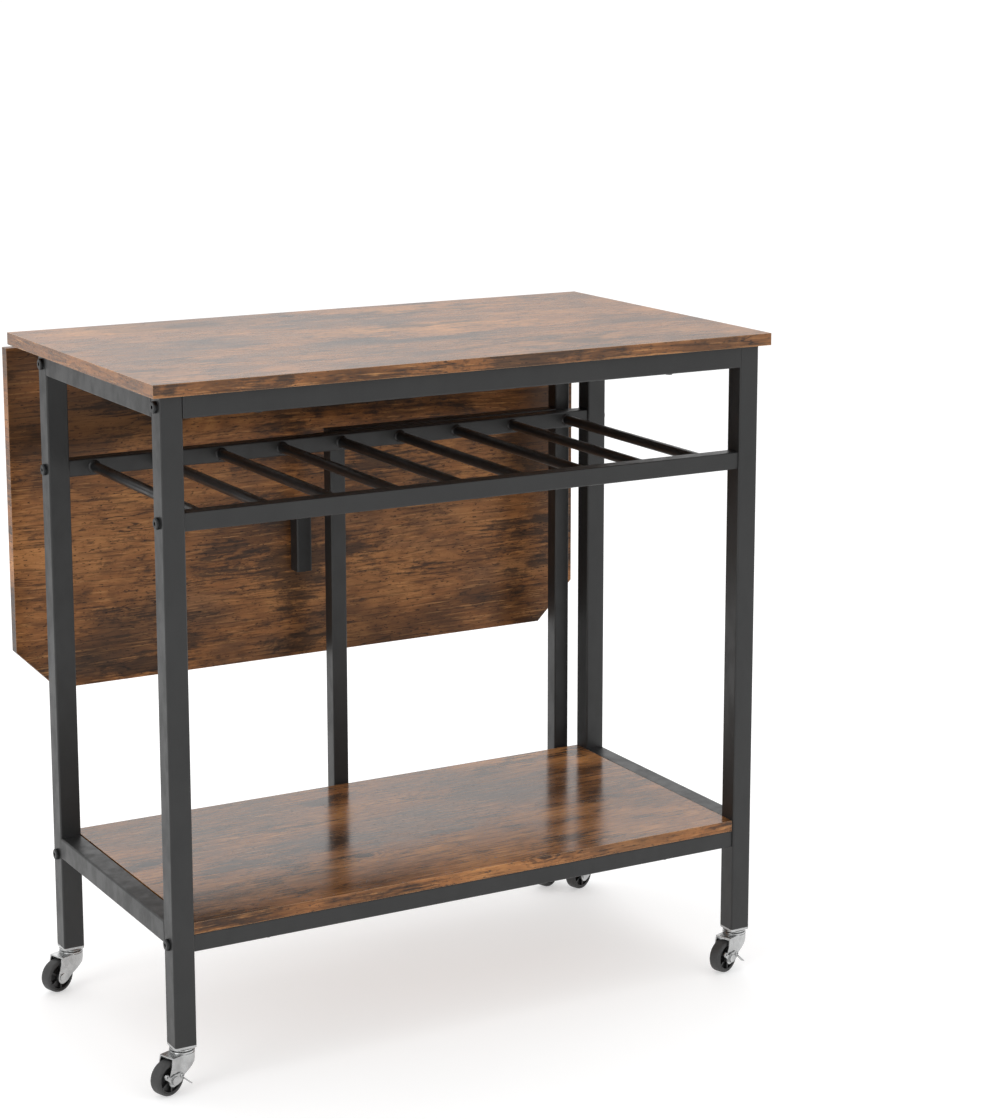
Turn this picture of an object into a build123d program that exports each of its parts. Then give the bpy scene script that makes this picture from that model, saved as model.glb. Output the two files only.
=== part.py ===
from build123d import *
import math
import os

os.makedirs("parts", exist_ok=True)

# ---------------------------------------------------------------- driving sizes, mm
# frame: X runs along the long side, Y from front to back, Z up from the floor
frame_w = 740.0        # outside of left legs to outside of right legs
frame_d = 360.0        # outside of front legs to outside of back legs
height = 770.0         # floor to the upper face of the tabletop
tube = 25.0            # legs, end rails and top rails
tube_wall = 1.5
rail = 20.0            # rack rails, shelf rails and the gate's tubes
rail_wall = 1.2
corner = 2.0           # outside corner radius of every tube
inner_corner = 0.3

board = 14.0           # tabletop and drop leaf
shelf_t = 13.0
top_over_end = 11.0    # tabletop past the legs at each end
top_over_front = 9.0
top_over_back = 71.0   # the overhang that the folded gate stands under
leaf_h = 413.0         # width of the drop leaf, hinge edge to free edge
leaf_cut = 50.0        # its two cut corners
hinge_gap = 1.0        # between tabletop and raised leaf
hinge_drop = 5.0       # leaf pin below the underside of the boards

rack_below_top = 148.0 # centre line of the rack below the tabletop's upper face
shelf_z = 164.5        # centre line of the front and back shelf rails
end_shelf_up = 10.0    # end shelf rails stand this much above that line
bar_count = 9
bar_d = 12.0
bar_end = 55.6         # first and last bar from the ends of the frame

gate_past_mid = 2.0    # left face of the gate's hinge post, left of the frame's middle
gate_in = 35.0         # free post of the folded gate inside the frame's right side
gate_gap = 5.0         # back of the legs to the front of the folded gate
gate_pin_side = 2.0    # pin stands this far left of the hinge post
rest_len = 72.0        # block on the leaf that the free post carries
rest_before = 27.75     # block starts this far before the middle of the free post
rest_off = 20.0        # block's near side, left of the gate pin
rest_fit = 1.0         # block to the top of the free post

wheel_d = 38.0
wheel_w = 15.0
foot_over_wheel = 13.0 # lower end of every leg above the top of the wheels
trail = 22.0           # swivel axis to axle
caster_turn = 20.0     # all casters trail to the left and slightly forwards

bolt_d = 6.0
bolt_head_d = 13.0
bolt_head_h = 4.0
screw_d = 4.0
small_screw_d = 3.0

# named clearances
free_fit = 0.05        # radial, pin or shaft that turns
bolt_clear = 0.2       # radial, bolt through a tube wall
still_fit = 0.03       # radial, screw or plug that stays put
plug_fit = 0.1         # each side, plug in a tube
board_fit = 0.5        # each end of the shelf between the end rails
swivel_fit = 0.3       # fork to the parts above and below it

# ---------------------------------------------------------------- sizes that follow
under_z = height - board
set_in = (tube - rail) / 2
back_face = frame_d - set_in
top_len = frame_w + 2 * top_over_end
top_dep = frame_d + top_over_front + top_over_back
top_back = frame_d + top_over_back
leaf_pin = (top_back + hinge_gap / 2, under_z - hinge_drop)
mid_x = frame_w / 2
foot_z = wheel_d + foot_over_wheel
rack_z = height - rack_below_top
bar_pitch = (frame_w - 2 * bar_end) / (bar_count - 1)
gate_x = mid_x - gate_past_mid
gate_w = frame_w - gate_in - gate_x
leg_at = tube / 2
gate_front = frame_d + gate_gap
gate_mid = gate_front + rail / 2
gate_pin = (gate_x - gate_pin_side, (back_face + gate_front) / 2)
gate_far = gate_x + gate_w
gate_reach = gate_far - rail / 2 - gate_pin[0]
rest_from_pin = gate_pin[1] + gate_reach - leaf_pin[0] - rest_before
rest_depth = rail
gate_top = under_z - rest_depth - rest_fit
shelf_low = shelf_z + rail / 2


# ---------------------------------------------------------------- helpers
def section(size, wall):
    """Square tube section with rounded corners, centred on its own axis."""
    outer = RectangleRounded(size, size, corner)
    inner = RectangleRounded(size - 2 * wall, size - 2 * wall, inner_corner)
    return outer - inner


def tube_z(x, y, z0, z1, size, wall):
    return Pos(x, y, z0) * extrude(section(size, wall), amount=z1 - z0)


def tube_x(x0, x1, y, z, size, wall):
    return Pos(x0, y, z) * Rot(0, 90, 0) * extrude(section(size, wall), amount=x1 - x0)


def tube_y(y0, y1, x, z, size, wall):
    return Pos(x, y0, z) * Rot(-90, 0, 0) * extrude(section(size, wall), amount=y1 - y0)


def box(x0, x1, y0, y1, z0, z1):
    """Block between opposite corners."""
    size = (x1 - x0, y1 - y0, z1 - z0)
    return Pos((x0 + x1) / 2, (y0 + y1) / 2, (z0 + z1) / 2) * Box(*size)


def rod_z(x, y, z0, z1, r):
    return Pos(x, y, (z0 + z1) / 2) * Cylinder(r, z1 - z0)


def rod_x(x0, x1, y, z, r):
    return Pos((x0 + x1) / 2, y, z) * Rot(0, 90, 0) * Cylinder(r, x1 - x0)


def rod_y(y0, y1, x, z, r):
    return Pos(x, (y0 + y1) / 2, z) * Rot(90, 0, 0) * Cylinder(r, y1 - y0)


nodes = {}


def put(name, *solids):
    nodes.setdefault(name, []).extend(solids)


# ---------------------------------------------------------------- legs and their bolts
bolt_zs = [under_z - tube / 2, rack_z, shelf_z]
bolt_reach = 14.0      # past the inner face of the leg, into the rail's end plug
plug_len = 12.0
side_x = {"left": 0.0, "right": frame_w}
row_y = {"front": leg_at, "back": frame_d - leg_at}

for side, face in side_x.items():
    inward = 1 if side == "left" else -1
    for row, y in row_y.items():
        leg = tube_z(face + inward * leg_at, y, foot_z, under_z, tube, tube_wall)
        for z in bolt_zs:
            ends = sorted((face - inward, face + inward * (tube + 1)))
            leg -= rod_x(*ends, y, z, bolt_d / 2 + bolt_clear)
            head = sorted((face, face - inward * bolt_head_h))
            shank = sorted((face - inward * 0.5, face + inward * (tube + bolt_reach)))
            bolt = rod_x(*head, y, z, bolt_head_d / 2)
            outer = [e for e in bolt.edges().filter_by(GeomType.CIRCLE)
                     if abs(e.center().X - face + inward * bolt_head_h) < 0.1]
            bolt = fillet(outer, 1.6)
            hexagon = extrude(RegularPolygon(2.3, 6), amount=2.4)
            turn = 90 if inward > 0 else -90
            socket = Pos(face - inward * (bolt_head_h + 0.01), y, z) * Rot(0, turn, 0) * hexagon
            bolt = bolt - socket + rod_x(*shank, y, z, bolt_d / 2)
            put("frame_bolts", bolt)
            inner = tube - 2 * tube_wall if z == bolt_zs[0] else rail - 2 * rail_wall
            half = inner / 2 - plug_fit
            ends = sorted((face + inward * tube, face + inward * (tube + plug_len)))
            plug = box(*ends, y - half, y + half, z - half, z + half)
            plug -= rod_x(face - 60, face + 60, y, z, bolt_d / 2 + still_fit)
            put("rail_end_nuts", plug)
        put(f"leg_{row}_{side}", leg)

# ---------------------------------------------------------------- rails
screw_xs = [115.0, frame_w - 115.0]
end_z = shelf_z + end_shelf_up
for side, face in side_x.items():
    x = face + (leg_at if side == "left" else -leg_at)
    span = (tube, frame_d - tube)
    put(f"end_rail_top_{side}", tube_y(*span, x, under_z - tube / 2, tube, tube_wall))
    put(f"end_rail_shelf_{side}", tube_y(*span, x, end_z, tube, tube_wall))

rail_x = (tube, frame_w - tube)
screw_len = 10.0       # length of each screw in the board above it
for row, y in row_y.items():
    top = tube_x(*rail_x, y, under_z - tube / 2, tube, tube_wall)
    low = tube_x(*rail_x, y, shelf_z, rail, rail_wall)
    for x in screw_xs:
        for name, base, high in (("top", under_z - tube, under_z), ("low", shelf_low - rail, shelf_low)):
            hole = rod_z(x, y, base - 1, high + 1, screw_d / 2 + bolt_clear)
            if name == "top":
                top -= hole
            else:
                low -= hole
            screw = rod_z(x, y, base - 2.2, base, 4.0)
            screw = screw + rod_z(x, y, base - 1, high + screw_len, screw_d / 2)
            put("board_screws", screw)
    put(f"top_rail_{row}", top)
    put(f"shelf_rail_{row}", low)
    put(f"rack_rail_{row}", tube_x(*rail_x, y, rack_z, rail, rail_wall))

bar_x0 = mid_x - bar_pitch * (bar_count - 1) / 2
for i in range(bar_count):
    x = bar_x0 + i * bar_pitch
    put("rack_bars", rod_y(set_in + rail, frame_d - set_in - rail, x, rack_z, bar_d / 2))

# ---------------------------------------------------------------- leaf hinges
# each has a plate under the tabletop, a plate on the leaf and a pin along X
hinge_xs = [110.0, mid_x, frame_w - 110.0]
plate_t = 1.5
plate_w = 60.0
plate_d = 27.0
knuckle_r = 3.0
pin_r = 1.25
knuckle_end = 20.0     # each of the two table knuckles
knuckle_gap = 0.3
hang = Pos(0, *leaf_pin) * Rot(-90, 0, 0) * Pos(0, -leaf_pin[0], -leaf_pin[1])
plate_screws = [(-21.0, 9.0), (0.0, 18.0), (21.0, 9.0)]


def hinge_plate(x, sign):
    """Flat plate under a board with its web; sign is -1 on the tabletop, +1 on the leaf."""
    y, z = leaf_pin
    edge = y + sign * 0.5 * (hinge_gap + 0.2)
    ys = sorted((edge, edge + sign * plate_d))
    plate = box(x - plate_w / 2, x + plate_w / 2, *ys, under_z - plate_t, under_z)
    for dx, dy in plate_screws:
        hole_y = edge + sign * (dy + 4)
        plate -= rod_z(x + dx, hole_y, under_z - 3, under_z + 1, small_screw_d / 2 + bolt_clear)
    return plate


def hinge_knuckle(x0, x1, sign):
    y, z = leaf_pin
    ys = sorted((y + sign * 0.6, y + sign * 2.8))
    web = box(x0, x1, *ys, z, under_z - plate_t / 2)
    barrel = rod_x(x0, x1, y, z, knuckle_r) + web
    return barrel - rod_x(x0 - 1, x1 + 1, y, z, pin_r + free_fit)


def small_screw(x, y):
    """Screw that holds a hinge plate, head down, shank up into the board."""
    head = rod_z(x, y, under_z - plate_t - 1.0, under_z - plate_t, 2.8)
    return head + rod_z(x, y, under_z - plate_t - 0.5, under_z + 9.0, small_screw_d / 2)


table_holes = []
leaf_holes = []
for x in hinge_xs:
    ends = plate_w / 2
    table = hinge_plate(x, -1)
    table += hinge_knuckle(x - ends, x - ends + knuckle_end, -1)
    table += hinge_knuckle(x + ends - knuckle_end, x + ends, -1)
    half = ends - knuckle_end - knuckle_gap
    flap = hinge_plate(x, 1) + hinge_knuckle(x - half, x + half, 1)
    put("leaf_hinge_table_plates", table)
    put("leaf_hinge_leaf_plates", hang * flap)
    put("leaf_hinge_pins", rod_x(x - ends - 0.8, x + ends + 0.8, *leaf_pin, pin_r))
    for dx, dy in plate_screws:
        off = 0.5 * (hinge_gap + 0.2) + dy + 4
        put("leaf_hinge_table_screws", small_screw(x + dx, leaf_pin[0] - off))
        put("leaf_hinge_leaf_screws", hang * small_screw(x + dx, leaf_pin[0] + off))
        table_holes.append((x + dx, leaf_pin[0] - off))
        leaf_holes.append((x + dx, leaf_pin[0] + off))

# ---------------------------------------------------------------- boards
tabletop = box(-top_over_end, frame_w + top_over_end, -top_over_front, top_back, under_z, height)
for x, y in table_holes:
    tabletop -= rod_z(x, y, under_z - 1, under_z + 9.2, small_screw_d / 2 + still_fit)
shelf = box(tube + board_fit, frame_w - tube - board_fit, 2.0, frame_d - 2.0, shelf_low, shelf_low + shelf_t)
for x in screw_xs:
    for y in row_y.values():
        tabletop -= rod_z(x, y, under_z - 1, under_z + screw_len + 0.2, screw_d / 2 + still_fit)
        shelf -= rod_z(x, y, shelf_low - 1, shelf_low + screw_len + 0.2, screw_d / 2 + still_fit)
put("tabletop", tabletop)
put("shelf_board", shelf)

leaf_y0 = leaf_pin[0] + hinge_gap / 2
leaf_y1 = leaf_y0 + leaf_h
x0, x1 = -top_over_end, frame_w + top_over_end
outline = Polyline((x0, leaf_y0), (x1, leaf_y0), (x1, leaf_y1 - leaf_cut),
                   (x1 - leaf_cut, leaf_y1), (x0 + leaf_cut, leaf_y1),
                   (x0, leaf_y1 - leaf_cut), (x0, leaf_y0))
leaf = Pos(0, 0, under_z) * extrude(make_face(outline), amount=board)
for x, y in leaf_holes:
    leaf -= rod_z(x, y, under_z - 1, under_z + 9.2, small_screw_d / 2 + still_fit)
put("leaf_panel", hang * leaf)

rest_x = gate_pin[0] - rest_off
rest_y = leaf_pin[0] + rest_from_pin
rest = Pos(rest_x + rail / 2, rest_y, under_z - rest_depth / 2) * Rot(-90, 0, 0)
rest = rest * extrude(RectangleRounded(rail, rest_depth, corner), amount=rest_len)
put("leaf_rest_block", hang * rest)

# ---------------------------------------------------------------- gate, folded behind the frame
cap_t = 2.0
post_x = gate_x + rail / 2
free_x = gate_far - rail / 2
gate_z0 = shelf_z - rail / 2
gate_z1 = rack_z + rail / 2
put("gate_hinge_post", tube_z(post_x, gate_mid, gate_z0 + cap_t, gate_z1 - cap_t, rail, rail_wall))
put("gate_free_post", tube_z(free_x, gate_mid, foot_z, gate_top - cap_t, rail, rail_wall))
for name, z in (("upper", rack_z), ("lower", shelf_z)):
    span = (gate_x + rail, gate_far - rail)
    put(f"gate_rail_{name}", tube_x(*span, gate_mid, z, rail, rail_wall))


def post_cap(x, z, up):
    """Plug with a flat head that closes one end of a gate post."""
    half = rail / 2 - rail_wall - plug_fit
    z0, z1 = sorted((z, z + up * cap_t))
    head = Pos(x, gate_mid, z0) * extrude(RectangleRounded(rail, rail, corner), amount=z1 - z0)
    z0, z1 = sorted((z, z - up * 8.0))
    return head + box(x - half, x + half, gate_mid - half, gate_mid + half, z0, z1)


put("gate_post_caps", post_cap(post_x, gate_z1 - cap_t, 1))
put("gate_post_caps", post_cap(post_x, gate_z0 + cap_t, -1))
put("gate_post_caps", post_cap(free_x, gate_top - cap_t, 1))

gate_knuckle = 5.0     # height of each of the two frame knuckles
flap_w = 18.0
for z in (rack_z, shelf_z):
    x, y = gate_pin
    z0, z1 = z - rail / 2, z + rail / 2
    fixed = box(x - flap_w - 4, x - 1.0, back_face, back_face + plate_t, z0, z1)
    moving = box(x + 1.0, x + 3.0 + flap_w, gate_front - plate_t, gate_front, z0, z1)
    for a, b in ((z0, z0 + gate_knuckle), (z1 - gate_knuckle, z1)):
        fixed += rod_z(x, y, a, b, knuckle_r)
        fixed += box(x - 2.9, x - 1.0, back_face + 0.5, y, a, b)
        moving -= box(x - 4, x + 3.6, y - 4, gate_front + 1, a - 1, b + knuckle_gap)
    moving -= box(x - 4, x + 3.6, y - 4, gate_front + 1, z1 - gate_knuckle - knuckle_gap, z1 + 1)
    fixed -= box(x - 3.6, x + 4, back_face - 1, y + 4, z0 + gate_knuckle, z1 - gate_knuckle)
    a, b = z0 + gate_knuckle + knuckle_gap, z1 - gate_knuckle - knuckle_gap
    moving += rod_z(x, y, a, b, knuckle_r)
    moving += box(x + 1.0, x + 2.9, y, gate_front - 0.5, a, b)
    hole = rod_z(x, y, z0 - 1, z1 + 1, pin_r + free_fit)
    put("gate_hinge_frame_plates", fixed - hole)
    put("gate_hinge_gate_plates", moving - hole)
    put("gate_hinge_pins", rod_z(x, y, z0 - 0.8, z1 + 0.8, pin_r))

# ---------------------------------------------------------------- casters
# built with the swivel axis on Z and the wheel trailing towards -X, then turned and set in place
plate_h = 2.5          # square plate under the leg
deck_below = 5.7       # flat deck of the fork below the lower end of the leg
ring_r = 14.0
fork_top = foot_z - plate_h - swivel_fit
deck_z = foot_z - deck_below
deck_t = 1.8
deck_back = 26.0       # swivel axis to the back of the deck
cheek_t = 1.8
cheek_in = 9.0         # inside face of each fork cheek from the centre plane
hub_half = 8.6
king_r = 3.0
axle_r = 3.0
axle_z = wheel_d / 2
rim_t = 4.8            # tread outside the hub's recess
stem_r = 4.0
stem_len = 22.0
lever_t = 1.5


def caster_stem(size):
    """Square plate, stem up into the leg and kingpin down through the fork."""
    low = deck_z - deck_t - swivel_fit
    plate = Pos(0, 0, foot_z - plate_h) * extrude(RectangleRounded(size, size, corner), amount=plate_h)
    stem = plate + rod_z(0, 0, foot_z - 1, foot_z + stem_len, stem_r)
    stem += rod_z(0, 0, low - 1.6, foot_z - plate_h + 0.5, king_r)
    return stem + rod_z(0, 0, low - 1.6, low, 5.5)


def caster_fork():
    """Swivel race on a flat deck with two cheeks that reach back to the axle."""
    upper = [(-deck_back, 0.0), (9.5, 0.0), (9.0, -4.3), (3.5, -9.3), (-7.0, -14.8)]
    lower = [(-14.0, 6.5), (-14.2, -1.8), (-17.5, -6.6), (-22.0, -8.0), (-26.5, -6.6),
             (-28.9, -2.6), (-29.2, 3.0)]
    points = [(x, deck_z + z) for x, z in upper] + [(x, axle_z + z) for x, z in lower]
    side = Polyline(*points, (-deck_back - 1.0, deck_z - 9.3), points[0])
    cheek = extrude(Plane.XZ * make_face(side), amount=cheek_t)
    fork = Pos(0, -cheek_in, 0) * cheek + Pos(0, cheek_in + cheek_t, 0) * cheek
    half = cheek_in + cheek_t
    fork += box(-deck_back, 9.5, -half, half, deck_z - deck_t, deck_z)
    fork += rod_z(0, 0, deck_z - deck_t, deck_z + 0.6, ring_r)
    fork += rod_z(0, 0, deck_z, deck_z + 1.4, ring_r - 1.6)
    race = rod_z(0, 0, deck_z + 1.2, fork_top, ring_r - 0.4)
    fork += fillet(race.edges().filter_by(GeomType.CIRCLE).group_by(Axis.Z)[-1], 0.8)
    fork -= rod_z(0, 0, deck_z - deck_t - 1, foot_z, king_r + free_fit)
    fork -= rod_z(0, 0, fork_top - 0.6, foot_z, 9.0)
    return fork - rod_y(-half - 1, half + 1, -trail, axle_z, axle_r + still_fit)


def caster_axle(front):
    """Riveted axle; front is how far its front head stands from the centre plane."""
    half = cheek_in + cheek_t
    axle = rod_y(-front - 0.5, half + 0.5, -trail, axle_z, axle_r)
    axle += rod_y(half, half + 1.4, -trail, axle_z, 4.6)
    return axle + rod_y(-front - 1.4, -front, -trail, axle_z, 4.6)


def caster_wheel():
    """Moulded wheel with a rounded tread, a recess and ribs on each side of its hub."""
    r, w = wheel_d / 2, wheel_w / 2
    disc = rod_y(-w, w, 0, 0, r)
    disc = fillet(disc.edges().filter_by(GeomType.CIRCLE), 3.0)
    for s in (-1, 1):
        ys = sorted((s * (w + 1), s * (w - 4.5)))
        ring = rod_y(*ys, 0, 0, r - rim_t) - rod_y(ys[0] - 1, ys[1] + 1, 0, 0, 6.0)
        disc -= ring
        ys = sorted((s * (w - 5.0), s * (w - 1.2)))
        for k in range(6):
            disc += Rot(0, 60 * k + 30, 0) * box(5.0, r - rim_t + 0.6, *ys, -0.8, 0.8)
    disc += rod_y(-hub_half, hub_half, 0, 0, 6.0)
    disc -= rod_y(-hub_half - 1, hub_half + 1, 0, 0, axle_r + free_fit)
    return Pos(-trail, 0, axle_z) * disc


def caster_lever():
    """Brake lever on the front end of the axle: a waisted plate with two bent tabs."""
    inner = cheek_in + cheek_t + swivel_fit
    points = [(-37.5, 12.5), (-33.0, 8.5), (-27.5, 9.5), (-22.0, 12.0), (-16.5, 9.5), (-11.0, 8.5),
              (-8.5, 4.0), (-12.0, -3.5), (-16.0, -6.5), (-27.0, -6.0), (-32.5, -1.0), (-38.5, 8.0)]
    shape = Polyline(*[(x, axle_z + z) for x, z in points + points[:1]])
    lever = Pos(0, -inner, 0) * extrude(Plane.XZ * make_face(shape), amount=lever_t)
    ear = box(-0.8, 0.8, -inner - 4.0, -inner - 0.4, -2.6, 2.6)
    lever += Pos(-37.2, 0, axle_z + 9.6) * Rot(0, 12, 0) * ear
    pedal = box(-7.5, 7.5, -inner - 5.5, -inner - 0.2, -0.75, 0.75)
    lever += Pos(-6.3, 0, axle_z - 2.0) * Rot(0, 48, 0) * pedal
    lever -= rod_y(-inner - 20, -inner + 1, -trail, axle_z, axle_r + free_fit)
    clear = rod_y(-inner - 20, -inner - lever_t, -trail, axle_z, 5.2)
    return lever - clear


feet = {
    "front_left": (leg_at, leg_at, tube, True),
    "front_right": (frame_w - leg_at, leg_at, tube, True),
    "back_left": (leg_at, frame_d - leg_at, tube, False),
    "back_right": (frame_w - leg_at, frame_d - leg_at, tube, False),
    "gate": (free_x, gate_mid, rail, False),
}
for foot, (x, y, size, brake) in feet.items():
    at = Pos(x, y, 0)
    turned = at * Rot(0, 0, caster_turn)
    wall = tube_wall if size == tube else rail_wall
    half = size / 2 - wall - plug_fit
    insert = box(-half, half, -half, half, foot_z, foot_z + stem_len + 2)
    insert -= rod_z(0, 0, foot_z - 1, foot_z + stem_len + 3, stem_r + still_fit)
    put("gate_foot_insert" if foot == "gate" else "leg_inserts", at * insert)
    put(f"caster_{foot}_stem", at * caster_stem(size))
    put(f"caster_{foot}_fork", turned * caster_fork())
    head = cheek_in + cheek_t + (swivel_fit + lever_t + swivel_fit if brake else 0)
    put(f"caster_{foot}_axle", turned * caster_axle(head))
    put(f"caster_{foot}_wheel", turned * caster_wheel())
    if brake:
        put(f"brake_lever_{foot}", turned * caster_lever())

# ---------------------------------------------------------------- origin under the middle of the whole
boxes = [s.bounding_box() for solids in nodes.values() for s in solids]
low = [min(getattr(b.min, k) for b in boxes) for k in "XYZ"]
high = [max(getattr(b.max, k) for b in boxes) for k in "XYZ"]
mx, my = (low[0] + high[0]) / 2, (low[1] + high[1]) / 2
home = Pos(-mx, -my, -low[2])
for name, solids in nodes.items():
    placed = [solid for s in solids for solid in (home * s).solids()]
    whole = placed[0] if len(placed) == 1 else Compound(children=placed)
    export_step(whole, f"parts/{name}.step")

print("nodes", len(nodes), "box", [round(v, 3) for v in low + high])
print("origin", round(mx, 4), round(my, 4), round(low[2], 4))
print("leaf pin", round(leaf_pin[0] - my, 4), leaf_pin[1])
print("gate pin", round(gate_pin[0] - mx, 4), round(gate_pin[1] - my, 4))
for foot, (x, y, size, brake) in feet.items():
    wx = x - trail * math.cos(math.radians(caster_turn))
    wy = y - trail * math.sin(math.radians(caster_turn))
    print(foot, "swivel", round(x - mx, 4), round(y - my, 4), "axle", round(wx - mx, 4), round(wy - my, 4), axle_z)
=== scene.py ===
import math

import bmesh
import bpy
from mathutils import Matrix, Vector


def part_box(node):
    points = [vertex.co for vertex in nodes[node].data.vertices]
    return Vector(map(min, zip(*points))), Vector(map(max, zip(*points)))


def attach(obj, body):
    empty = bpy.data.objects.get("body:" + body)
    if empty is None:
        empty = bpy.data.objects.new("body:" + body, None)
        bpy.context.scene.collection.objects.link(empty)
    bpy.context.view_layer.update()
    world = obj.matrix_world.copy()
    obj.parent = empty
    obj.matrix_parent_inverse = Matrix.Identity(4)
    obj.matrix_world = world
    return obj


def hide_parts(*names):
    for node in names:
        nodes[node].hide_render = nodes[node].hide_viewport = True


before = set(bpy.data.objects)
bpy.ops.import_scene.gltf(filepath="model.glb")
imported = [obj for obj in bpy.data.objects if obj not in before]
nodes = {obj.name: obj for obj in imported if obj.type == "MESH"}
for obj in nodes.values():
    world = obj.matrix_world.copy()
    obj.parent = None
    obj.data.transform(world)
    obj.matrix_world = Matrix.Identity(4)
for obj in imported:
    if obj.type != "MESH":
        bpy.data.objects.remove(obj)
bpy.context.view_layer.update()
scene = bpy.context.scene

# ------------------------------------------------------------------ camera
cam_data = bpy.data.cameras.new("camera")
camera = bpy.data.objects.new("camera", cam_data)
scene.collection.objects.link(camera)
scene.camera = camera
DOWN_TILT, HEADING = 0.186034, 1.053962     # radians below level, and round from +X
cam_data.sensor_width = 36.0
cam_data.lens = 86.31
cam_data.shift_x = -0.0063
cam_data.shift_y = -0.0943
cam_data.clip_end = 60.0
camera.location = (-1.38507, -2.73372, 1.20377)
camera.rotation_euler = (math.pi / 2 - DOWN_TILT, 0.0, HEADING - math.pi / 2)
scene.view_settings.view_transform = "Standard"


# ------------------------------------------------------------------ node helpers
def linear(r, g, b):
    """0-255 display colour as a linear RGBA tuple."""
    def one(c):
        c /= 255
        return c / 12.92 if c <= 0.04045 else ((c + 0.055) / 1.055) ** 2.4
    return one(r), one(g), one(b), 1.0


class Shader:
    """A node material built from short calls; a call's result is a socket."""

    def __init__(self, name):
        self.mat = bpy.data.materials.new(name)
        self.mat.use_nodes = True
        self.tree = self.mat.node_tree
        self.bsdf = self.tree.nodes["Principled BSDF"]

    def node(self, kind, inputs, **props):
        made = self.tree.nodes.new(kind)
        for key, value in props.items():
            setattr(made, key, value)
        for key, value in inputs.items():
            if isinstance(value, bpy.types.NodeSocket):
                self.tree.links.new(value, made.inputs[key])
            else:
                made.inputs[key].default_value = value
        return made

    def coords(self, offset=(0, 0, 0), end_swap=False):
        tex = self.tree.nodes.new("ShaderNodeTexCoord")
        here = self.node("ShaderNodeVectorMath", {0: tex.outputs["Object"], 1: offset}).outputs[0]
        if not end_swap:
            return here
        parts = self.node("ShaderNodeSeparateXYZ", {0: here}).outputs
        turned = self.node("ShaderNodeCombineXYZ", {0: parts[1], 1: parts[0], 2: parts[2]}).outputs[0]
        facing = self.node("ShaderNodeSeparateXYZ", {0: tex.outputs["Normal"]}).outputs[0]
        is_end = self.math("GREATER_THAN", self.math("ABSOLUTE", facing), 0.7)
        mixed = self.node("ShaderNodeMix", {0: is_end, 4: here, 5: turned}, data_type="VECTOR")
        return mixed.outputs[1]

    def scaled(self, vector, scale):
        return self.node("ShaderNodeVectorMath", {0: vector, 1: scale}, operation="MULTIPLY").outputs[0]

    def moved(self, vector, push, amount):
        return self.node("ShaderNodeVectorMath", {0: push, 1: amount, 2: vector},
                         operation="MULTIPLY_ADD").outputs[0]

    def noise(self, vector, detail=4.0, rough=0.55, distort=0.0, colour=False):
        made = self.node("ShaderNodeTexNoise", {"Vector": vector, "Scale": 1.0, "Detail": detail,
                                                "Roughness": rough, "Distortion": distort})
        return made.outputs["Color" if colour else "Fac"]

    def math(self, op, a, b=0.0):
        return self.node("ShaderNodeMath", {0: a, 1: b}, operation=op).outputs[0]

    def step(self, value, low, high, to_low=0.0, to_high=1.0):
        return self.node("ShaderNodeMapRange", {0: value, 1: low, 2: high, 3: to_low, 4: to_high},
                         interpolation_type="SMOOTHSTEP").outputs[0]

    def ramp(self, value, *stops):
        made = self.node("ShaderNodeValToRGB", {0: value})
        bar = made.color_ramp.elements
        while len(bar) < len(stops):
            bar.new(0.5)
        for slot, (at, colour) in zip(bar, stops):
            slot.position, slot.color = at, colour
        return made.outputs[0]

    def mix(self, fac, a, b):
        return self.node("ShaderNodeMix", {0: fac, 6: a, 7: b}, data_type="RGBA").outputs[2]

    def edge(self, radius, low=0.02, high=0.25):
        """Mask that is 1 on outer arrises and 0 on flats."""
        soft = self.node("ShaderNodeBevel", {"Radius": radius}, samples=4).outputs[0]
        hard = self.tree.nodes.new("ShaderNodeNewGeometry").outputs["Normal"]
        dot = self.node("ShaderNodeVectorMath", {0: soft, 1: hard}, operation="DOT_PRODUCT").outputs["Value"]
        return self.step(self.math("SUBTRACT", 1.0, dot), low, high)

    def bump(self, height, strength, distance, under=None):
        links = {"Height": height, "Strength": strength, "Distance": distance}
        if under is not None:
            links["Normal"] = under
        return self.node("ShaderNodeBump", links).outputs[0]

    def set(self, **inputs):
        names = {"colour": "Base Color", "rough": "Roughness", "metal": "Metallic", "normal": "Normal",
                 "specular": "Specular IOR Level", "aniso": "Anisotropic"}
        for key, value in inputs.items():
            socket = self.bsdf.inputs[names[key]]
            if isinstance(value, bpy.types.NodeSocket):
                self.tree.links.new(value, socket)
            else:
                socket.default_value = value
        return self.mat


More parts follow.
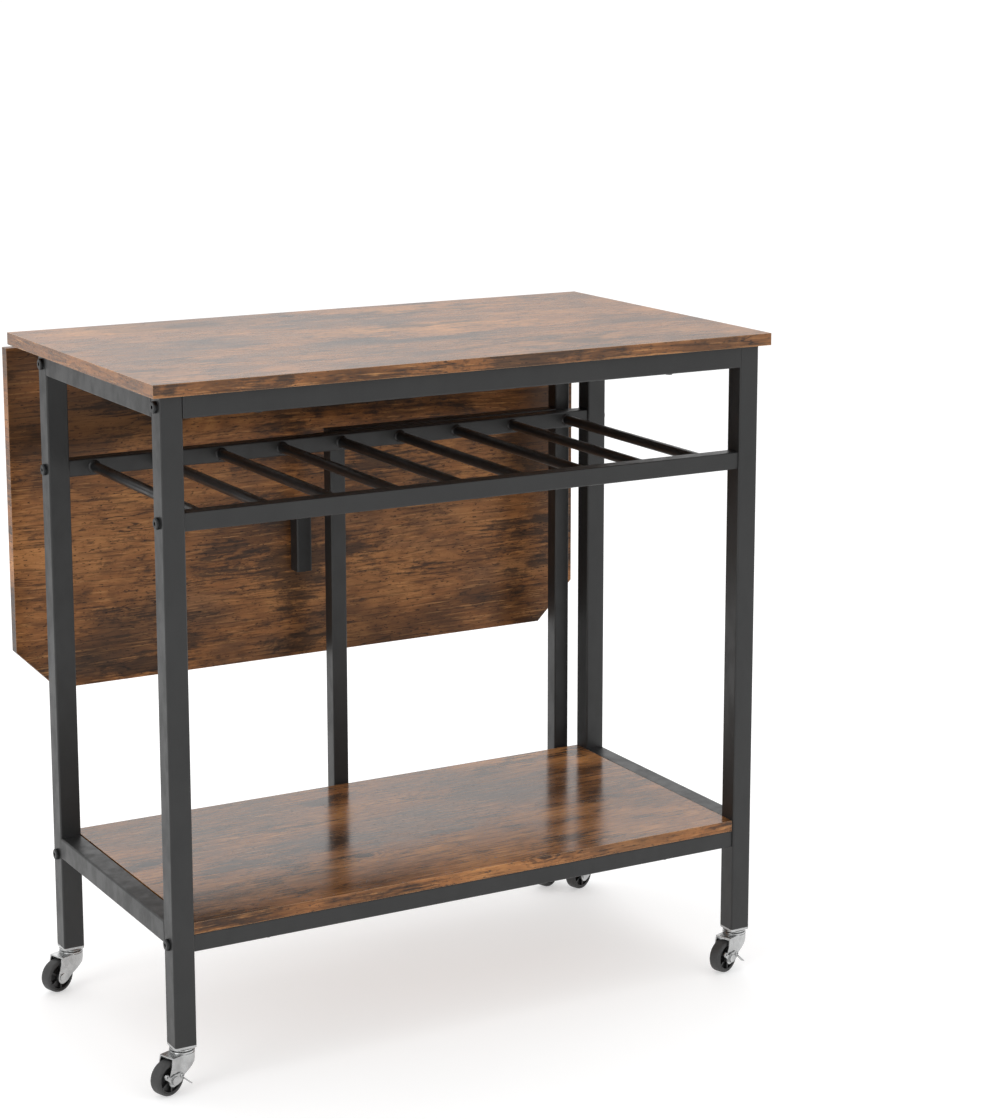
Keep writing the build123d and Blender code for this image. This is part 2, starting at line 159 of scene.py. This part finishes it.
# ------------------------------------------------------------------ materials
def rustic_board(name, offset, rough, specular, grey_share=0.4, patches_and_painted_shade=0.0):
    """Printed rustic oak laminate: brown and tan grain along X, charcoal patches, knots and cracks."""
    s = Shader(name)
    p = s.coords(offset, end_swap=True)
    drift = s.noise(s.scaled(p, (3.0, 8.0, 8.0)), 3.0, 0.5, colour=True)
    centred = s.node("ShaderNodeVectorMath", {0: drift, 1: (0.5, 0.5, 0.5)}, operation="SUBTRACT").outputs[0]
    q = s.moved(p, centred, (0.06, 0.016, 0.016))

    tone = s.noise(s.scaled(q, (4.4, 11.0, 11.0)), 9.0, 0.66)
    base = s.ramp(tone, (0.33, linear(62, 39, 22)), (0.43, linear(110, 70, 37)),
                  (0.53, linear(146, 95, 53)), (0.66, linear(186, 128, 75)))
    grey = s.noise(s.scaled(q, (3.4, 9.0, 9.0)), 6.0, 0.62)
    base = s.mix(s.step(grey, 0.49, 0.64, 0.0, grey_share), base, linear(96, 77, 62))

    # growth rings, dark streaks and pale streaks
    ring_field = s.noise(s.scaled(q, (1.5, 6.0, 6.0)), 2.0, 0.5)
    rings = s.math("SINE", s.math("MULTIPLY", ring_field, 260.0))
    base = s.mix(s.step(rings, 0.1, 1.0, 0.0, 0.20), base, linear(56, 38, 26))
    streak = s.noise(s.scaled(q, (16.0, 360.0, 360.0)), 5.0, 0.66)
    base = s.mix(s.step(streak, 0.48, 0.64, 0.0, 0.60), base, linear(50, 31, 18))
    light = s.noise(s.scaled(q, (21.0, 480.0, 480.0)), 4.0, 0.62)
    base = s.mix(s.step(light, 0.53, 0.70, 0.0, 0.55), base, linear(200, 144, 88))

    # charcoal patches with feathered ends
    patch = s.noise(s.scaled(q, (9.5, 25.0, 25.0)), 9.0, 0.72, 0.2)
    where = s.noise(s.scaled(p, (3.1, 4.6, 4.6)), 2.0, 0.5)
    ragged = s.math("ADD", patch, s.math("MULTIPLY", s.math("SUBTRACT", streak, 0.5), 0.34))
    zone = s.step(where, 0.40, 0.62, -0.065, 0.06)
    # a higher bias lowers this threshold: more charcoal patches, and painted shade on the leaf
    dark = s.step(s.math("ADD", ragged, zone), 0.545 - patches_and_painted_shade, 0.645 - patches_and_painted_shade)
    base = s.mix(s.math("MULTIPLY", dark, 0.74), base, linear(42, 32, 26))
    small = s.noise(s.scaled(q, (34.0, 95.0, 95.0)), 5.0, 0.66)
    base = s.mix(s.step(small, 0.58, 0.68, 0.0, 0.55), base, linear(40, 28, 21))
    # a higher bias also deepens the smoke: painted shade on the leaf
    smoke = s.noise(s.scaled(p, (2.8, 5.4, 5.4)), 4.0, 0.55)
    smoked = s.step(smoke, 0.52 - patches_and_painted_shade, 0.66 - patches_and_painted_shade, 0.0, 0.45 + 7 * patches_and_painted_shade)
    base = s.mix(smoked, base, linear(45, 32, 23))

    # knots: an ellipse with rings, in a few cells only
    cells = s.node("ShaderNodeTexVoronoi", {"Vector": s.scaled(p, (4.6, 9.2, 9.2)), "Scale": 1.0,
                                            "Randomness": 0.9})
    near = s.math("ADD", cells.outputs["Distance"], s.math("MULTIPLY", s.math("SUBTRACT", small, 0.5), 0.12))
    chosen = s.node("ShaderNodeSeparateColor", {0: cells.outputs["Color"]}).outputs[0]
    few = s.math("GREATER_THAN", chosen, 0.72)
    knot_rings = s.math("SINE", s.math("MULTIPLY", near, 150.0))
    halo = s.math("MULTIPLY", few, s.step(near, 0.05, 0.20, 0.75, 0.0))
    base = s.mix(s.math("MULTIPLY", halo, s.step(knot_rings, -0.4, 0.9)), base, linear(50, 33, 24))
    heart = s.math("MULTIPLY", few, s.step(near, 0.03, 0.075, 0.95, 0.0))
    base = s.mix(heart, base, linear(27, 20, 17))

    # thin wandering cracks and short pores
    line_field = s.noise(s.scaled(q, (2.6, 24.0, 24.0)), 4.0, 0.55)
    line = s.math("ABSOLUTE", s.math("SUBTRACT", line_field, 0.53))
    some = s.step(s.noise(s.scaled(p, (8.0, 16.0, 16.0)), 1.0, 0.5), 0.55, 0.64)
    crack = s.math("MULTIPLY", some, s.step(line, 0.001, 0.006, 0.85, 0.0))
    base = s.mix(crack, base, linear(27, 19, 15))
    pore = s.noise(s.scaled(q, (150.0, 560.0, 560.0)), 2.0, 0.6)
    pores = s.step(pore, 0.60, 0.69, 0.0, 0.85)
    base = s.mix(pores, base, linear(33, 23, 17))

    # a pale line along the arrises: a painted highlight
    arris_highlight_and_wear = s.edge(0.0011, 0.03, 0.22)
    base = s.mix(s.math("MULTIPLY", arris_highlight_and_wear, 0.62), base, linear(206, 163, 122))

    gloss = s.math("ADD", s.step(tone, 0.3, 0.7, rough - 0.04, rough + 0.05), s.math("MULTIPLY", pores, 0.12))
    sunk = s.math("ADD", s.math("MULTIPLY", pores, 0.5), crack)
    relief = s.math("SUBTRACT", s.math("MULTIPLY", streak, 0.3), sunk)
    normal = s.bump(relief, 0.10, 0.0002)
    smear = s.noise(s.scaled(p, (9.0, 9.0, 9.0)), 2.0, 0.5)
    normal = s.bump(smear, 0.04, 0.004, normal)
    return s.set(colour=base, rough=gloss, normal=normal, specular=specular)


def powder_coat(name, shade, rough=0.42, painted_highlight_shade=0.085):
    """Baked powder paint: fine orange peel, faint cloudiness, and smoother arrises with a pale painted
    highlight.
    """
    s = Shader(name)
    p = s.coords()
    cloud = s.noise(s.scaled(p, (14.0, 14.0, 9.0)), 4.0, 0.55)
    grain = s.noise(s.scaled(p, (1300.0, 1300.0, 1300.0)), 2.0, 0.5)
    dark = (shade * 0.82, shade * 0.84, shade * 0.84, 1)
    pale = (shade * 1.22, shade * 1.24, shade * 1.23, 1)
    base = s.ramp(cloud, (0.32, dark), (0.70, pale))
    base = s.mix(s.step(grain, 0.58, 0.80, 0.0, 0.35), base, (shade * 2.1, shade * 2.1, shade * 2.1, 1))
    # paler arrises: a painted highlight along the edges, patchy with the cloud
    arris_highlight_and_wear = s.math("MULTIPLY", s.edge(0.0016, 0.02, 0.30), s.step(cloud, 0.30, 0.62, 0.35, 1.0))
    base = s.mix(s.math("MULTIPLY", arris_highlight_and_wear, 0.5), base, (painted_highlight_shade, painted_highlight_shade, painted_highlight_shade, 1))
    dust = s.noise(s.scaled(p, (60.0, 60.0, 30.0)), 5.0, 0.65)
    gloss = s.math("ADD", s.step(dust, 0.35, 0.70, rough - 0.05, rough + 0.08),
                   s.math("MULTIPLY", arris_highlight_and_wear, -0.08))
    normal = s.bump(grain, 0.22, 0.00025)
    normal = s.bump(s.noise(s.scaled(p, (260.0, 260.0, 260.0)), 2.0, 0.5), 0.10, 0.0004, normal)
    return s.set(colour=base, rough=gloss, normal=normal, specular=0.5)


def plated(name, tint, rough):
    """Plated pressed steel: bright, with faint cloudy staining, drawing marks and rubbed edges."""
    s = Shader(name)
    p = s.coords()
    cloud = s.noise(s.scaled(p, (90.0, 90.0, 60.0)), 5.0, 0.6)
    pale = tuple(min(1.0, c * 1.10) for c in tint) + (1,)
    dull = tuple(c * 0.72 for c in tint) + (1,)
    base = s.ramp(cloud, (0.30, dull), (0.62, tuple(tint) + (1,)), (0.85, pale))
    marks = s.noise(s.scaled(p, (300.0, 300.0, 2400.0)), 3.0, 0.6)
    spots = s.noise(s.scaled(p, (700.0, 700.0, 700.0)), 2.0, 0.5)
    base = s.mix(s.step(spots, 0.66, 0.78, 0.0, 0.22), base, tuple(c * 0.45 for c in tint) + (1,))
    arris_highlight_and_wear = s.edge(0.0007, 0.03, 0.3)
    base = s.mix(s.math("MULTIPLY", arris_highlight_and_wear, 0.6), base, pale)
    gloss = s.math("SUBTRACT", s.step(cloud, 0.3, 0.75, rough + 0.12, rough), s.math("MULTIPLY", arris_highlight_and_wear, 0.06))
    normal = s.bump(marks, 0.10, 0.00012)
    normal = s.bump(s.noise(s.scaled(p, (210.0, 210.0, 210.0)), 2.0, 0.5), 0.12, 0.0004, normal)
    return s.set(colour=base, rough=gloss, metal=1.0, normal=normal, aniso=0.25)


def moulded(name, shade, rough=0.42, peel=500.0, scuff=0.0):
    """Moulded black plastic or rubber with a fine spark texture and pale scuffs."""
    s = Shader(name)
    p = s.coords()
    cloud = s.noise(s.scaled(p, (45.0, 45.0, 45.0)), 4.0, 0.6)
    base = s.ramp(cloud, (0.3, (shade * 0.8,) * 3 + (1,)), (0.75, (shade * 1.3,) * 3 + (1,)))
    grain = s.noise(s.scaled(p, (peel * 3,) * 3), 2.0, 0.5)
    scratch = s.noise(s.scaled(p, (160.0, 900.0, 160.0)), 4.0, 0.7)
    marks = s.step(scratch, 0.60, 0.72, 0.0, 0.4 + scuff)
    base = s.mix(marks, base, (shade * 3.0,) * 3 + (1,))
    arris_highlight_and_wear = s.edge(0.0008, 0.03, 0.3)
    base = s.mix(s.math("MULTIPLY", arris_highlight_and_wear, 0.45), base, (shade * 3.4,) * 3 + (1,))
    gloss = s.math("ADD", s.step(cloud, 0.3, 0.7, rough - 0.05, rough + 0.06),
                   s.math("MULTIPLY", marks, 0.15))
    normal = s.bump(grain, 0.18, 0.0002)
    return s.set(colour=base, rough=gloss, normal=normal)


TABLE = rustic_board("laminate_tabletop", (0.0, 0.0, 0.0), 0.27, 0.42, grey_share=0.22)
SHELF = rustic_board("laminate_shelf", (3.1, 1.7, 0.4), 0.17, 0.33, grey_share=0.3)
# the leaf's extra charcoal patches and smoke are partly painted shade
LEAF = rustic_board("laminate_leaf", (7.3, 4.1, 2.2), 0.34, 0.25, patches_and_painted_shade=0.03)
FRAME = powder_coat("powder_coat_frame", 0.0125)
RACK = powder_coat("powder_coat_rack_bars", 0.006, 0.34, 0.04)
ZINC = plated("zinc_plate", (0.50, 0.505, 0.505), 0.20)
SCREW = plated("zinc_screws", (0.60, 0.60, 0.58), 0.30)
OXIDE = plated("black_oxide", (0.045, 0.046, 0.047), 0.34)
NYLON = moulded("black_nylon_wheel", 0.016, 0.38)
TREAD = moulded("worn_tread", 0.034, 0.55, scuff=0.25)
PLASTIC = moulded("black_plastic_caps", 0.014, 0.45)

# ------------------------------------------------------------------ the carried-over nodes
finish_of = {
    "tabletop": TABLE, "shelf_board": SHELF, "leaf_panel": LEAF, "rack_bars": RACK,
    "frame_bolts": OXIDE, "rail_end_nuts": SCREW, "board_screws": OXIDE,
    "leg_inserts": PLASTIC, "gate_foot_insert": PLASTIC, "gate_post_caps": PLASTIC,
    "leaf_rest_block": PLASTIC,
}


def finish_for(name):
    if name in finish_of:
        return finish_of[name]
    if "hinge_" in name and "post" not in name:
        return OXIDE
    if name.startswith(("caster_", "brake_")):
        return NYLON if name.endswith("wheel") else ZINC
    return FRAME


def soften(obj, width, segments=2, angle=32.0):
    """Rounds the arrises of a carried-over solid without changing its mesh."""
    weld = obj.modifiers.new("weld", "WELD")
    weld.merge_threshold = 1e-6
    bevel = obj.modifiers.new("arris", "BEVEL")
    bevel.width = width
    bevel.segments = segments
    bevel.limit_method = "ANGLE"
    bevel.angle_limit = math.radians(angle)
    bevel.use_clamp_overlap = True
    bevel.harden_normals = True
    bevel.miter_outer = "MITER_ARC"


for name, obj in nodes.items():
    obj.data.materials.clear()
    obj.data.materials.append(finish_for(name))
for name, width in {"tabletop": 0.0007, "shelf_board": 0.0006, "leaf_panel": 0.0006}.items():
    soften(nodes[name], width)

# ------------------------------------------------------------------ detailed casters
MM = 0.001
CASTER_TURN = math.radians(20)
TRAIL, AXLE_Z = 22.0, 19.0
DISC_BORE, AXLE_BORE = 6.2, 3.2      # clear the stem's lower disc and the axle
# each caster, and whether it has a brake
FEET = {"front_left": True, "front_right": True, "back_left": False, "back_right": False, "gate": False}


def piece(name, bm, place, body, replaced, slot, *materials, smooth=35.0):
    """Finishes a bmesh built in millimetres and sets it on its body."""
    bmesh.ops.recalc_face_normals(bm, faces=bm.faces)
    mesh = bpy.data.meshes.new(name)
    bm.to_mesh(mesh)
    bm.free()
    mesh.transform(place @ Matrix.Scale(MM, 4))
    for material in materials:
        mesh.materials.append(material)
    mesh.shade_smooth()
    mesh.set_sharp_from_angle(angle=math.radians(smooth))
    obj = bpy.data.objects.new(name, mesh)
    scene.collection.objects.link(obj)
    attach(obj, body)
    if replaced:
        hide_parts(replaced)
    return obj


def lathe(bm, profile, centre=(0, 0, 0), along="Z", steps=72, ripple=None):
    """Closed profile of (radius, height) turned about an axis; returns the faces by profile edge."""
    rings = []
    for i in range(steps):
        a = 2 * math.pi * i / steps
        ring = []
        for k, (r, h) in enumerate(profile):
            r += ripple(a, k) if ripple else 0.0
            u, v = r * math.cos(a), r * math.sin(a)
            p = (u, v, h) if along == "Z" else (u, h, v)
            ring.append(bm.verts.new(Vector(centre) + Vector(p)))
        rings.append(ring)
    bands = [[] for _ in profile]
    for i in range(steps):
        a, b = rings[i], rings[(i + 1) % steps]
        for k in range(len(profile)):
            m = (k + 1) % len(profile)
            bands[k].append(bm.faces.new((a[k], b[k], b[m], a[m])))
    return bands


def block(bm, low, high, turn=None):
    """Box between corners, turned about its own middle."""
    low, high = Vector(low), Vector(high)
    made = bmesh.ops.create_cube(bm, size=1.0)["verts"]
    spin = (turn or Matrix.Identity(3)).to_4x4()
    size = Matrix.Diagonal((*(high - low), 1))
    bmesh.ops.transform(bm, matrix=Matrix.Translation((low + high) / 2) @ spin @ size, verts=made)


def rounded(obj, width_mm, segments=2):
    bevel = obj.modifiers.new("arris", "BEVEL")
    bevel.width, bevel.segments = width_mm * MM, segments
    bevel.limit_method, bevel.angle_limit = "ANGLE", math.radians(40)
    bevel.harden_normals = True


def holed(bm, rim, hole):
    """Fill the flat region between an outline and a hole inside it."""
    edges = []
    for loop in (rim, hole):
        for a, b in zip(loop, loop[1:] + loop[:1]):
            edges.append(bm.edges.get((a, b)) or bm.edges.new((a, b)))
    bmesh.ops.triangle_fill(bm, edges=edges, use_beauty=True)


def circle(radius, count=40):
    """Points of a circle round the origin."""
    return [(radius * math.cos(2 * math.pi * k / count), radius * math.sin(2 * math.pi * k / count))
            for k in range(count)]


def fork_sheet():
    """Pressed fork: flat deck, two cheeks and a round apron under the race, as one folded sheet."""
    bm = bmesh.new()
    deck, cheek_y, head = 42.0, 9.9, 13.0
    lower = [(13.1, 34.0), (10.0, 31.6), (4.0, 27.0), (-3.0, 22.6), (-9.0, 18.6)]
    drum_low = deck - 6.0

    def apron_low(x):
        for (xa, za), (xb, zb) in zip(lower, lower[1:]):
            if x >= xb:
                return za + (zb - za) * min(1.0, max(0.0, (xa - x) / (xa - xb)))
        return lower[-1][1]

    arc = [(head * math.cos(math.radians(a)), head * math.sin(math.radians(a))) for a in range(-108, 109, 12)]
    flank = [(-22.4, -cheek_y), (-18.0, -cheek_y), (-13.0, -cheek_y), (-9.0, -cheek_y), (-6.2, -10.9)]
    plan = flank + arc + [(x, -y) for x, y in reversed(flank)]
    top = [bm.verts.new((x, y, deck)) for x, y in plan]
    holed(bm, top, [bm.verts.new((x, y, deck)) for x, y in circle(DISC_BORE)])
    first, last = 3, len(plan) - 4
    mid, low = {}, {}
    for i in range(first, last + 1):
        x, y = plan[i]
        inner = (x * 0.84 if x > 0 else x, max(-cheek_y, min(cheek_y, y)))
        mid[i] = bm.verts.new((x, y, drum_low))
        low[i] = bm.verts.new((inner[0], inner[1], apron_low(x)))
    for i in range(first, last):
        bm.faces.new((top[i], mid[i], mid[i + 1], top[i + 1]))
        bm.faces.new((mid[i], low[i], low[i + 1], mid[i + 1]))
    outline = [(-11.6, 16.6), (-14.6, 13.8), (-18.4, 11.8), (-22.0, 11.0),
               (-25.5, 12.0), (-28.0, 15.0), (-28.6, 19.0), (-27.4, 24.0), (-24.8, 32.0), (-23.2, 39.0)]
    for side, tops, join in ((-1, top[:4], [mid[first], low[first]]),
                             (1, top[last:][::-1], [mid[last], low[last]])):
        rim = [bm.verts.new((x, side * cheek_y, z)) for x, z in outline]
        bm.faces.new(tops + join + rim)
    return bm


# swivel race as (radius, height): a lower rim, a groove and an upper rim, hollow round the stem's disc
RACE = [(6.2, 42.0), (12.8, 42.0), (13.3, 42.9), (13.4, 43.6), (13.9, 44.0), (14.0, 44.6), (13.7, 45.1),
        (12.7, 45.3), (11.4, 45.6), (11.4, 46.4), (12.9, 46.6), (13.6, 46.9), (13.8, 47.3), (13.5, 47.9),
        (12.7, 48.2), (10.6, 48.2), (10.0, 47.5), (9.2, 47.3), (3.3, 47.3), (3.3, 44.4), (6.2, 44.4)]
# half of the wheel's section as (radius, distance from its middle plane)
WHEEL_HALF = [(3.1, 8.5), (5.4, 8.5), (6.0, 7.9), (6.3, 3.2), (8.0, 2.9), (13.4, 2.9), (14.1, 3.4),
              (14.3, 6.9), (15.2, 7.4), (15.7, 7.0), (16.1, 7.45), (17.4, 7.1), (18.3, 6.3),
              (18.85, 5.0), (19.0, 3.2)]
TREAD_FROM = 10        # first profile point on the tread


def wheel_mesh():
    """Moulded hub in a rounded tread, recessed and ribbed on both sides."""
    bm = bmesh.new()
    profile = WHEEL_HALF + [(r, -h) for r, h in reversed(WHEEL_HALF)]
    count = len(profile)
    bands = lathe(bm, profile, (-TRAIL, 0, AXLE_Z), "Y", 96)
    for k in range(TREAD_FROM, count - 1 - TREAD_FROM):
        for face in bands[k]:
            face.material_index = 1
    for side in (-1, 1):
        for k in range(6):
            turn = Matrix.Rotation(math.radians(60 * k + 30), 3, "Y")
            middle = turn @ Vector((10.0, 0, 0)) + Vector((-TRAIL, side * 4.6, AXLE_Z))
            half = Vector((4.6, 1.8, 0.75))
            block(bm, middle - half, middle + half, turn)
    return bm


def lever_mesh():
    """Butterfly brake lever: waisted plate bored for the axle, collar, two eyelets and a bent pedal."""
    bm = bmesh.new()
    face_y, back_y = -12.6, -11.3
    shape = [(-14.2, 8.0), (-12.8, 10.2), (-10.4, 9.9), (-8.0, 6.2), (-4.0, 4.8), (0.0, 6.4), (4.0, 6.2),
             (7.6, 6.9), (11.0, 5.6), (12.6, 2.4), (11.4, -1.2), (8.4, -4.0), (3.6, -5.8), (-1.6, -5.4),
             (-5.4, -3.0), (-8.2, 0.8), (-10.8, 3.2), (-13.6, 5.2)]
    rims = [[bm.verts.new((x - TRAIL, y, z + AXLE_Z)) for x, z in shape] for y in (face_y, back_y)]
    bores = [[bm.verts.new((x - TRAIL, y, z + AXLE_Z)) for x, z in circle(AXLE_BORE)]
             for y in (face_y, back_y)]
    for rim, bore in zip(rims, bores):
        holed(bm, rim, bore)
    for i in range(len(bores[0])):
        k = (i + 1) % len(bores[0])
        bm.faces.new((bores[0][i], bores[0][k], bores[1][k], bores[1][i]))
    for i in range(len(shape)):
        k = (i + 1) % len(shape)
        bm.faces.new((rims[0][i], rims[1][i], rims[1][k], rims[0][k]))
    collar = [(4.8, -12.5), (5.4, -12.5), (5.3, -13.1), (5.1, -13.3), (4.8, -13.2)]
    lathe(bm, collar, (-TRAIL, 0, AXLE_Z), "Y", 48)
    eyelet = [(1.1, -12.5), (2.3, -12.5), (2.5, -13.2), (2.2, -13.9), (1.6, -14.1), (1.1, -13.8)]
    for x, z in ((-11.8, 7.7), (10.0, 3.0)):
        lathe(bm, eyelet, (x - TRAIL, 0, z + AXLE_Z), "Y", 24)
    bend = Matrix.Rotation(math.radians(41), 3, "Y")
    middle = Vector((-6.3, -14.0, 15.0))
    block(bm, middle - Vector((7.2, 2.3, 0.6)), middle + Vector((7.2, 2.3, 0.6)), bend)
    return bm


for foot, braked in FEET.items():
    stem_low, stem_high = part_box(f"caster_{foot}_stem")
    axis = (Vector(stem_low) + Vector(stem_high)) / 2
    place = Matrix.Translation((axis.x, axis.y, 0)) @ Matrix.Rotation(CASTER_TURN, 4, "Z")
    fork = piece(f"fork_{foot}_pressing", fork_sheet(), place, f"fork_{foot}", f"caster_{foot}_fork",
                 "zinc", ZINC)
    solid = fork.modifiers.new("sheet", "SOLIDIFY")
    solid.thickness, solid.offset = 1.7 * MM, 0.0
    solid.use_even_offset = True
    rounded(fork, 0.5)
    bm = bmesh.new()
    lathe(bm, RACE)
    for y, boss in ((-10.8, -0.1), (10.6, 0.2)):
        lathe(bm, [(3.1, y), (5.9, y), (5.5, y + boss), (3.1, y + boss)], (-TRAIL, 0, AXLE_Z), "Y", 40)
    piece(f"fork_{foot}_race", bm, place, f"fork_{foot}", None, "zinc", ZINC)
    piece(f"wheel_{foot}_moulding", wheel_mesh(), place, f"wheel_{foot}", f"caster_{foot}_wheel",
          "black_plastic", NYLON, TREAD)
    if braked:
        lever = piece(f"lever_{foot}_pressing", lever_mesh(), place, f"brake_{foot}", f"brake_lever_{foot}",
                      "zinc", ZINC)
        rounded(lever, 0.25)

# ------------------------------------------------------------------ weld beads round the rack bars
bars_low, bars_high = (Vector(c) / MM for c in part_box("rack_bars"))
bm = bmesh.new()
bar_r, bar_count = 6.0, 9
pitch = (bars_high.x - bars_low.x - 2 * bar_r) / (bar_count - 1)
for i in range(bar_count):
    x, z = bars_low.x + bar_r + i * pitch, (bars_low.z + bars_high.z) / 2
    for y, way in ((bars_low.y, 1), (bars_high.y, -1)):
        bead = [(bar_r - 0.2, y), (bar_r + 1.7, y), (bar_r + 1.3, y + 0.9 * way),
                (bar_r + 0.5, y + 1.6 * way), (bar_r - 0.2, y + 1.8 * way)]

        def ripple(a, k, i=i):
            """Uneven outer surface of one bead; its root on the bar stays round."""
            return 0.16 * math.sin(11 * a + i) + 0.10 * math.sin(5 * a + 2 * i) if k in (1, 2, 3) else 0.0

        lathe(bm, bead, (x, 0, z), "Y", 40, ripple)
piece("rack_bar_welds", bm, Matrix.Identity(4), "frame", None, "frame_paint", RACK, smooth=60.0)

# ------------------------------------------------------------------ stage and lights
floor_mesh = bpy.data.meshes.new("floor")
floor_mesh.from_pydata([(-15, -15, 0), (15, -15, 0), (15, 15, 0), (-15, 15, 0)], [], [(0, 1, 2, 3)])
floor = bpy.data.objects.new("floor", floor_mesh)
scene.collection.objects.link(floor)
floor.location.z = -0.0005
ground = Shader("pale_floor")
ground.bsdf.inputs["Emission Color"].default_value = (1, 1, 1, 1)
ground.bsdf.inputs["Emission Strength"].default_value = 0.46
floor_mesh.materials.append(ground.set(colour=(0.66, 0.66, 0.66, 1), rough=0.8, specular=0.1))

BACKDROP = 1.06
world = bpy.data.worlds.new("studio")
scene.world = world
world.use_nodes = True
sky = world.node_tree
backdrop = sky.nodes["Background"]
backdrop.inputs[1].default_value = BACKDROP


def sky_node(kind, inputs, **props):
    made = sky.nodes.new(kind)
    for key, value in props.items():
        setattr(made, key, value)
    for key, value in inputs.items():
        if isinstance(value, bpy.types.NodeSocket):
            sky.links.new(value, made.inputs[key])
        else:
            made.inputs[key].default_value = value
    return made


# the room that lights the object: brighter overhead, with soft dark and bright stretches round the walls
toward = sky.nodes.new("ShaderNodeTexCoord").outputs["Generated"]
height = sky_node("ShaderNodeSeparateXYZ", {0: toward}).outputs[2]
rise = sky_node("ShaderNodeMapRange", {0: height, 1: -0.05, 2: 0.35, 3: 0.44, 4: 1.10},
                interpolation_type="SMOOTHSTEP").outputs[0]
walls = sky_node("ShaderNodeTexNoise", {"Vector": toward, "Scale": 1.7, "Detail": 1.0}).outputs["Fac"]
cards = sky_node("ShaderNodeMapRange", {0: walls, 1: 0.38, 2: 0.62, 3: 0.45, 4: 1.40},
                 interpolation_type="SMOOTHSTEP").outputs[0]
room = sky_node("ShaderNodeMath", {0: rise, 1: cards}, operation="MULTIPLY").outputs[0]
seen = sky.nodes.new("ShaderNodeLightPath").outputs["Is Camera Ray"]
strength = sky_node("ShaderNodeMix", {0: seen, 2: room, 3: BACKDROP}).outputs[0]
backdrop.inputs[0].default_value = (1.0, 1.0, 1.0, 1)
sky.links.new(strength, backdrop.inputs[1])


def softbox(name, at, target, size, power):
    data = bpy.data.lights.new(name, "AREA")
    data.shape = "RECTANGLE"
    data.size, data.size_y = size
    data.energy = power
    obj = bpy.data.objects.new(name, data)
    scene.collection.objects.link(obj)
    obj.location = at
    obj.rotation_euler = (Vector(target) - Vector(at)).to_track_quat("-Z", "Y").to_euler()


softbox("key_left", (-3.2, -1.0, 1.5), (0, 0, 0.35), (1.8, 2.4), 24.0)
softbox("overhead", (0.4, 0.8, 3.2), (0, 0, 0.6), (3.0, 2.4), 38.0)
